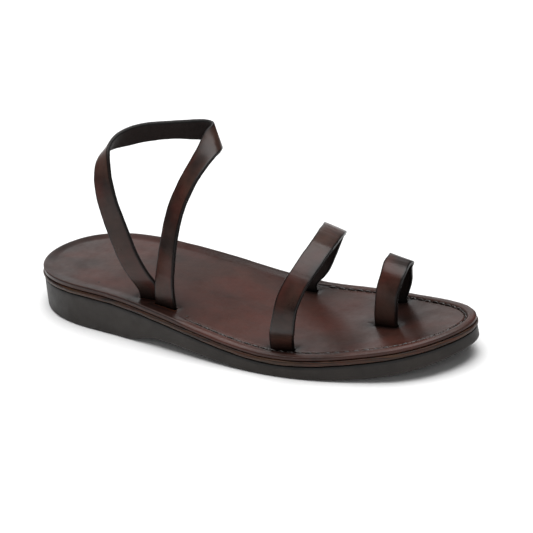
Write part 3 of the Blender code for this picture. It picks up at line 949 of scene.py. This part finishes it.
# seam: each stitch is a thread bent down at both ends,
# height = lift (1 - u^4) - sink u^4, u from -1 to 1
def makeSeam(loop, normals, along, first, last, material):
    s = seam
    rings, sides = s["rings"], s["sides"]
    count = int((last - first) / s["pitch"])
    middles = first + (np.arange(count) + 0.5) * s["pitch"]
    draw = np.random.default_rng(s["seed"])
    shift = draw.normal(0, s["shiftSpread"], count)
    lengths = s["stitch"] * draw.normal(1.0, s["stitchSpread"], count)
    u = np.linspace(-1, 1, rings)
    where = middles[:, None] + u[None] * lengths[:, None] / 2
    closedAlong = np.append(along, along[-1] + np.linalg.norm(loop[0] - loop[-1]))
    columns = np.column_stack([loop + normals * s["fromEdge"], normals])
    columns = np.vstack([columns, columns[:1]])
    x, y, nx, ny = (np.interp(where, closedAlong, column) for column in columns.T)
    slant = shift[:, None] + s["slant"] * u[None]
    x = x + nx * slant
    y = y + ny * slant
    floor = rimHeight(x) - shoe["dish"] * 0.9 - s["grooveDepth"]
    z = floor + s["lift"] * (1 - u ** 4) - s["sink"] * u ** 4
    middle = np.stack([x, y, z], -1)
    tangent = np.gradient(middle, axis=1)
    tangent /= np.linalg.norm(tangent, axis=-1, keepdims=True)
    side = np.stack([nx, ny, np.zeros_like(nx)], -1)
    side -= (side * tangent).sum(-1, keepdims=True) * tangent
    side /= np.linalg.norm(side, axis=-1, keepdims=True)
    up = np.cross(tangent, side)
    angle = np.arange(sides) / sides * 2 * math.pi
    radius = s["threadRadius"] * (1 - s["endTaper"] * u ** 6)
    turn = angle[None, None, :, None]
    circle = np.cos(turn) * side[:, :, None] + np.sin(turn) * up[:, :, None]
    points = middle[:, :, None] + circle * radius[None, :, None, None]
    vertices = points.reshape(-1, 3)
    starts = np.arange(count)[:, None, None] * rings * sides
    quads = (ringQuads(rings, sides)[None] + starts).reshape(-1, 4)
    tris = (fanEnds(rings, sides)[None] + starts).reshape(-1, 3)
    place = np.stack([np.repeat(where.ravel(), sides) * 1000, np.tile(angle, count * rings),
                      np.zeros(len(vertices))], -1)
    return makePiece("seamThread", vertices, quads, tris, material, (),
                     {"threadPlace": place})


# triangles that close both ends of a tube of rings, as fans from each end ring's first point
def fanEnds(levels, count):
    fan = np.stack([np.zeros(count - 2, int), np.arange(1, count - 1), np.arange(2, count)], -1)
    return np.concatenate([fan[:, ::-1], fan + (levels - 1) * count])


# tacks: x share of length and y share of ballWidth of each
tacks = {
    "places": [(0.204, -0.313), (0.264, -0.390), (0.446, -0.415)],
    "radius": 0.0006, "rise": 0.00025, "sunk": 0.00005, "foot": 0.0006,
    "rings": 6, "sides": 16,
}


# tack heads: low domes, height = rise sqrt(1 - r^2), sunk a little into the leather
def makeTacks(material):
    rings, sides, radius, rise, foot = (tacks[key] for key in ("rings", "sides", "radius", "rise", "foot"))
    r = np.sin(np.linspace(0, math.pi / 2, rings + 1)[1:])[::-1]
    reach = radius * np.append(1.0, r)[:, None]
    height = np.append(-foot, rise * np.sqrt(1 - r ** 2))
    angle = np.arange(sides) / sides * 2 * math.pi
    dome = np.stack([reach * np.cos(angle), reach * np.sin(angle), np.repeat(height[:, None], sides, 1)], -1)
    points = np.vstack([dome.reshape(-1, 3), [0, 0, rise], [0, 0, -foot]])
    i = np.arange(sides)
    j = (i + 1) % sides
    last = rings * sides
    fans = np.concatenate([np.stack([last + i, last + j, 0 * i + len(points) - 2], -1),
                           np.stack([j, i, 0 * i + len(points) - 1], -1)])
    vertices, quads, tris = [], [], []
    for k, (shareX, shareY) in enumerate(tacks["places"]):
        x = xAt(shareX)
        base = float(rimHeight(x)) - shoe["dish"] - tacks["sunk"]
        vertices.append(points + [x, shareY * shoe["ballWidth"], base])
        quads.append(ringQuads(rings + 1, sides) + k * len(points))
        tris.append(fans + k * len(points))
    return makePiece("tackHeads", np.concatenate(vertices), np.concatenate(quads),
                     np.concatenate(tris), material)


# middle lines of the straps, as in the CAD. x share of length, y share of ballWidth,
# rise as a share of the strap's own rise over the footbed, then the way its width points
anklePath = [
    (0.39, -0.31, 0.33, -1.0, 0.3, 0.1), (0.40, -0.19, 0.62, -0.9, 0.3, 0.0),
    (0.415, -0.01, 0.82, -0.9, 0.2, 0.0), (0.42, 0.10, 0.895, -0.8, 0.2, 0.3),
    (0.42, 0.17, 0.93, -0.5, 0.1, 0.6), (0.415, 0.215, 0.94, -0.2, 0.0, 0.8),
    (0.40, 0.225, 0.955, 0.0, -0.1, 0.9), (0.37, 0.17, 0.98, 0.2, -0.3, 1.0),
    (0.31, 0.04, 1.00, 0.3, -0.3, 0.9), (0.265, -0.09, 0.99, 0.4, -0.3, 0.9),
    (0.25, -0.21, 0.96, 0.7, -0.4, 0.6), (0.255, -0.29, 0.89, 0.9, -0.2, 0.4),
    (0.27, -0.36, 0.73, 0.9, 0.0, 0.3), (0.295, -0.385, 0.47, 0.9, 0.1, 0.2),
    (0.33, -0.38, 0.18, 1.0, 0.1, 0.1),
]
instepPath = [
    (0.695, -0.50, 0.28, -1.0, -0.15, 0.10), (0.71, -0.48, 0.58, -1.0, -0.05, 0.15),
    (0.727, -0.36, 0.84, -1.0, 0.0, 0.20), (0.73, -0.19, 0.97, -1.0, 0.0, 0.20),
    (0.715, -0.01, 0.98, -1.0, 0.0, 0.25), (0.685, 0.17, 0.89, -1.0, 0.0, 0.25),
    (0.65, 0.29, 0.72, -1.0, 0.0, 0.30), (0.622, 0.325, 0.48, -1.0, 0.0, 0.30),
    (0.595, 0.30, 0.24, -1.0, -0.1, 0.20),
]
ringPath = [
    (0.825, -0.005, 0.35, -1.0, 0.1, 0.0), (0.83, 0.01, 0.65, -1.0, 0.1, 0.0),
    (0.835, 0.05, 0.87, -1.0, 0.0, 0.0), (0.83, 0.13, 0.97, -1.0, -0.1, 0.1),
    (0.822, 0.21, 0.94, -1.0, -0.1, 0.2), (0.807, 0.275, 0.80, -0.9, 0.0, 0.3),
    (0.795, 0.31, 0.54, -0.9, -0.1, 0.3), (0.785, 0.315, 0.28, -1.0, -0.1, 0.2),
]

# rise: height of the path's top over the footbed. ways: which way the width points at each end
strapPieces = {
    "ankleStrap": {
        "node": "ankle_strap", "path": anklePath, "rise": 0.0762,
        "slots": ("ankleFront", "ankleRear"), "ways": (-1, 1), "sections": 420, "seed": 3,
    },
    "instepStrap": {
        "node": "instep_strap", "path": instepPath, "rise": 0.0468,
        "slots": ("instepOuter", "instepInner"), "ways": (-1, -1), "sections": 260, "seed": 7,
    },
    "toeRing": {
        "node": "toe_ring", "path": ringPath, "rise": 0.0292,
        "slots": ("ringOuter", "ringInner"), "ways": (-1, -1), "sections": 200, "seed": 13,
    },
}
strapForm = {
    "lift": 0.6,            # upright start over the footbed, in thicknesses
    "tail": 0.0035,         # end inside the slot
    "tailGap": 0.0001,
    "corner": 0.00045,      # rounding of the cut edges
    "crown": 0.00014,       # grain side thinner near the edges
    "waver": 0.00014,       # edges not quite parallel
    "waverLengths": (0.021, 0.017),
    "ripple": 0.00006,      # slow unevenness of the flat faces
    "rippleLength": 0.013,
    "crease": 0.00005,      # fine cross folds where the strap bends inwards
    "creaseLength": 0.0034,
    "fullBend": 90.0,       # bend, in 1/m, that gives the full crease
    "arcDye": 0.9,          # dye on the rounded edge, and beside it
    "sideDye": (0.55, 0.0007),
    # next row: painted shade where the strap goes into its slot, its strength and reach in metres
    "rootShade": (0.75, 0.007),
}


# section of a strap as fractions: two flat faces of nine points, four corners of five points.
# gives across (-1..1), thickness side (-1..1), corner offsets in units of the corner's radius
def strapSection():
    arc = np.linspace(0, math.pi / 2, 5)
    flat = np.linspace(1, -1, 11)[1:-1]
    rows = []
    for signW, signT, angles in ((1, 1, arc), (-1, 1, arc[::-1]), (-1, -1, arc), (1, -1, arc[::-1])):
        for angle in angles:
            rows.append((signW, signT, signW * (math.cos(angle) - 1), signT * (math.sin(angle) - 1)))
        if (signW, signT) == (1, 1):
            rows += [(value, 1, 0, 0) for value in flat]
        if (signW, signT) == (-1, -1):
            rows += [(-value, -1, 0, 0) for value in flat]
    return np.array(rows)


# line of a strap: a cubic through its stations, upright at both slots. across is the way its
# width points, long enough to keep the width square to the line; outward = across x tangent
def strapLine(spec):
    rows = np.array(spec["path"])
    start, startWay, width = slotFrame(spec["slots"][0])
    end, endWay, _ = slotFrame(spec["slots"][1])
    level = float(rimHeight((start[0] + end[0]) / 2)) - shoe["dish"]
    line = np.column_stack([xAt(rows[:, 0]), rows[:, 1] * shoe["ballWidth"],
                            level + rows[:, 2] * spec["rise"]])
    lift = shoe["strapThickness"] * strapForm["lift"]
    ends = [np.append(p, float(rimHeight(p[0])) - shoe["dish"] + lift) for p in (start, end)]
    line = np.vstack([ends[0], line, ends[1]])
    ways = [np.append(way * sign, 0) for way, sign in zip((startWay, endWay), spec["ways"])]
    wide = np.vstack([ways[0], rows[:, 3:], ways[1]])
    knots = loopLength(line)
    at = np.linspace(0, knots[-1], spec["sections"])
    up = np.array([0.0, 0.0, 1.0])
    middle = curveThrough(knots, line, at, slopes=(up, -up))
    across = curveThrough(knots, wide, at)
    tangent = np.gradient(middle, axis=0)
    tangent[0], tangent[-1] = up, -up
    tangent /= np.linalg.norm(tangent, axis=1)[:, None]
    square = across - (across * tangent).sum(1)[:, None] * tangent
    reach = np.linalg.norm(square, axis=1)[:, None]
    outward = np.cross(square / reach, tangent)
    bend = -(np.gradient(tangent, at, axis=0) * outward).sum(1)
    return middle, across / reach, outward, bend, width


# strap: the section carried along its line, point = middle + across w + outward t, where w and
# t are the section's sizes with their waver, ripple and creases
def makeStrap(name, material):
    spec, form = strapPieces[name], strapForm
    seed, thickness = spec["seed"], shoe["strapThickness"]
    middle, across, outward, bend, width = strapLine(spec)
    along = loopLength(middle)
    section = strapSection()
    count = len(section)
    signW, signT, offW, offT = section.T[:, None]
    fade = (np.sin(np.pi * np.arange(len(along)) / (len(along) - 1)) ** 0.3)[:, None]

    def wave(length, step, octaves=4):
        return wobble(along, length, seed + step, octaves)[:, None]

    waver = np.where(signW > 0, wave(form["waverLengths"][0], 0), wave(form["waverLengths"][1], 1))
    w = signW * (width / 2 + form["waver"] * fade * waver * np.abs(signW)) + offW * form["corner"]
    edgeNear = np.clip(np.abs(w) / (width / 2), 0, 1) ** 6
    t = signT * thickness / 2 + offT * form["corner"]
    grain = signT < 0
    t = t + np.where(grain, form["crown"], -0.4 * form["crown"]) * edgeNear
    hollow = np.clip(np.abs(bend)[:, None] / form["fullBend"], 0, 1) * form["crease"]
    folds = hollow * fade * wave(form["creaseLength"], 4, 3)
    ripple = form["ripple"] * fade * wave(form["rippleLength"], 2)
    t = t + ripple + folds * (1 - 0.6 * edgeNear) * np.where(grain, 0.6, 1.0)
    points = middle[:, None] + across[:, None] * w[..., None] + outward[:, None] * t[..., None]

    tails = []
    for ring in (points[0], points[-1]):
        tail = ring.copy()
        tail[:, 2] = rimHeight(tail[:, 0]) - shoe["sheet"] + form["tailGap"]
        tails.append(tail[None])
    points = np.concatenate([tails[0], points, tails[1]])
    levels = len(points)
    w = np.concatenate([w[:1], w, w[-1:]])
    t = np.concatenate([t[:1], t, t[-1:]])
    along = np.concatenate([[-form["tail"]], along, [along[-1] + form["tail"]]])
    faceSide = smoothStep(0.5 - t / (0.8 * thickness)) * 0.02   # the two faces' patterns differ
    place = np.stack([np.broadcast_to(along[:, None], w.shape) + seed * 0.11, w, faceSide], -1)
    strength, reach = form["sideDye"]
    beside = strength * bell(np.clip(width / 2 - np.abs(w), 0, None), reach)
    dyeAndPaintedShade = np.maximum(np.where(np.abs(offW) + np.abs(offT) > 0, form["arcDye"], 0.0), beside)
    # painted shade: darker towards the footbed where the strap goes into its slot
    strength, reach = form["rootShade"]
    base = rimHeight(points[..., 0]) - shoe["dish"]
    root = strength * smoothStep(1 - (points[..., 2] - base) / reach)
    attributes = {
        "strapPlace": place.reshape(-1, 3),
        "grainSide": np.repeat(np.where(grain, 1.0, 0.0), levels, 0).ravel(),
        "cutEdgeAndRootShade": np.maximum(np.clip(dyeAndPaintedShade, 0, 1), root).ravel(),
    }
    return makePiece(name, points.reshape(-1, 3), ringQuads(levels, count), fanEnds(levels, count),
                     material, (spec["node"],), attributes)


view = {
    "aim": (0.089, 0.0, 0.010), "azimuth": 38.0, "elevation": 25.1, "roll": -7.6,
    "distance": 1.31, "lens": 178.4, "sensor": 36.0,
    "rightOfAim": 0.0058, "aboveAim": 0.0149,   # turn from the aim to the picture's middle
}


# camera: stands at aim + back * distance; looks along -back turned a little right and up
def addCamera():
    v = view
    az, el, roll = (math.radians(v[key]) for key in ("azimuth", "elevation", "roll"))
    back = Vector((math.sin(az) * math.cos(el), -math.cos(az) * math.cos(el), math.sin(el)))
    right = Vector((math.cos(az), math.sin(az), 0.0))
    up = right.cross(-back)
    rolledRight = right * math.cos(roll) + up * math.sin(roll)
    rolledUp = up * math.cos(roll) - right * math.sin(roll)
    forward = (-back + rolledRight * v["rightOfAim"] + rolledUp * v["aboveAim"]).normalized()
    rolledUp = (rolledUp - forward * rolledUp.dot(forward)).normalized()
    rolledRight = forward.cross(rolledUp)
    data = bpy.data.cameras.new("camera")
    data.lens = v["lens"]
    data.sensor_width = v["sensor"]
    camera = linked("camera", data)
    turn = Matrix((rolledRight, rolledUp, -forward)).transposed()
    camera.matrix_world = Matrix.Translation(Vector(v["aim"]) + back * v["distance"]) @ turn.to_4x4()
    bpy.context.scene.camera = camera


floorLook = {
    "half": 4.0,
    "grain": (3.0, 2.0),
    "low": (0.88, 0.88, 0.88),
    "high": (0.90, 0.90, 0.90),
    "finish": {"Roughness": 0.8, "Specular IOR Level": 0.1},
}


# floor: one large pale sheet, level with the sole
def addFloor():
    half = floorLook["half"]
    mesh = bpy.data.meshes.new("floor")
    corners = [(-half, -half, 0), (half, -half, 0), (half, half, 0), (-half, half, 0)]
    mesh.from_pydata(corners, [], [(0, 1, 2, 3)])
    make = MaterialMaker("paleFloor", floorLook)
    mesh.materials.append(make.finished(colour=make.mixed(make.noise(*floorLook["grain"]), "low", "high")))
    linked("floor", mesh)


lamps = {
    "overhead": {"at": (0.10, 0.05, 1.40), "size": (1.6, 1.6), "power": 36.0},
    "backLeft": {"at": (-0.85, 1.00, 0.45), "size": (1.0, 0.5), "power": 1.7},
    "front": {"at": (0.80, -1.10, 0.60), "size": (1.2, 0.9), "power": 3.0},
}
roomLight = {"colour": (1.0, 1.0, 1.0), "strength": 0.12}


# lamps: soft rectangles that face the camera's aim, in an evenly lit room
def addLight():
    for name, spec in lamps.items():
        data = bpy.data.lights.new(name, "AREA")
        data.shape = "RECTANGLE"
        data.size, data.size_y = spec["size"]
        data.energy = spec["power"]
        lamp = linked(name, data)
        place = Vector(spec["at"])
        turn = (Vector(view["aim"]) - place).to_track_quat("-Z", "Y").to_matrix()
        lamp.matrix_world = Matrix.Translation(place) @ turn.to_4x4()
    world = bpy.data.worlds.new("room")
    world.use_nodes = True
    background = world.node_tree.nodes["Background"]
    background.inputs["Color"].default_value = (*roomLight["colour"], 1.0)
    background.inputs["Strength"].default_value = roomLight["strength"]
    bpy.context.scene.world = world


addCamera()
addFloor()
addLight()
bpy.context.scene.view_settings.view_transform = "Standard"
print("camera, floor and lights are set")

outline = outlineLoop(rubberSize["count"])
outlineNormals = inwardNormals(outline)
makeRubberSole(outline, outlineNormals, soleRubber())
makeMidsole(outline, outlineNormals, loopLength(outline), midsoleLeather())
print("sole and lower leather are made")

footbed, seamLoop, seamNormals, seamAlong, seamFirst, seamLast = makeFootbed(footbedLeather())
makeSeam(seamLoop, seamNormals, seamAlong, seamFirst, seamLast, waxedThread())
makeTacks(tackMetal())
print("footbed, seam and tacks are made")

strapMaterial = strapLeather()
for strapName in strapPieces:
    makeStrap(strapName, strapMaterial)
print("straps are made")
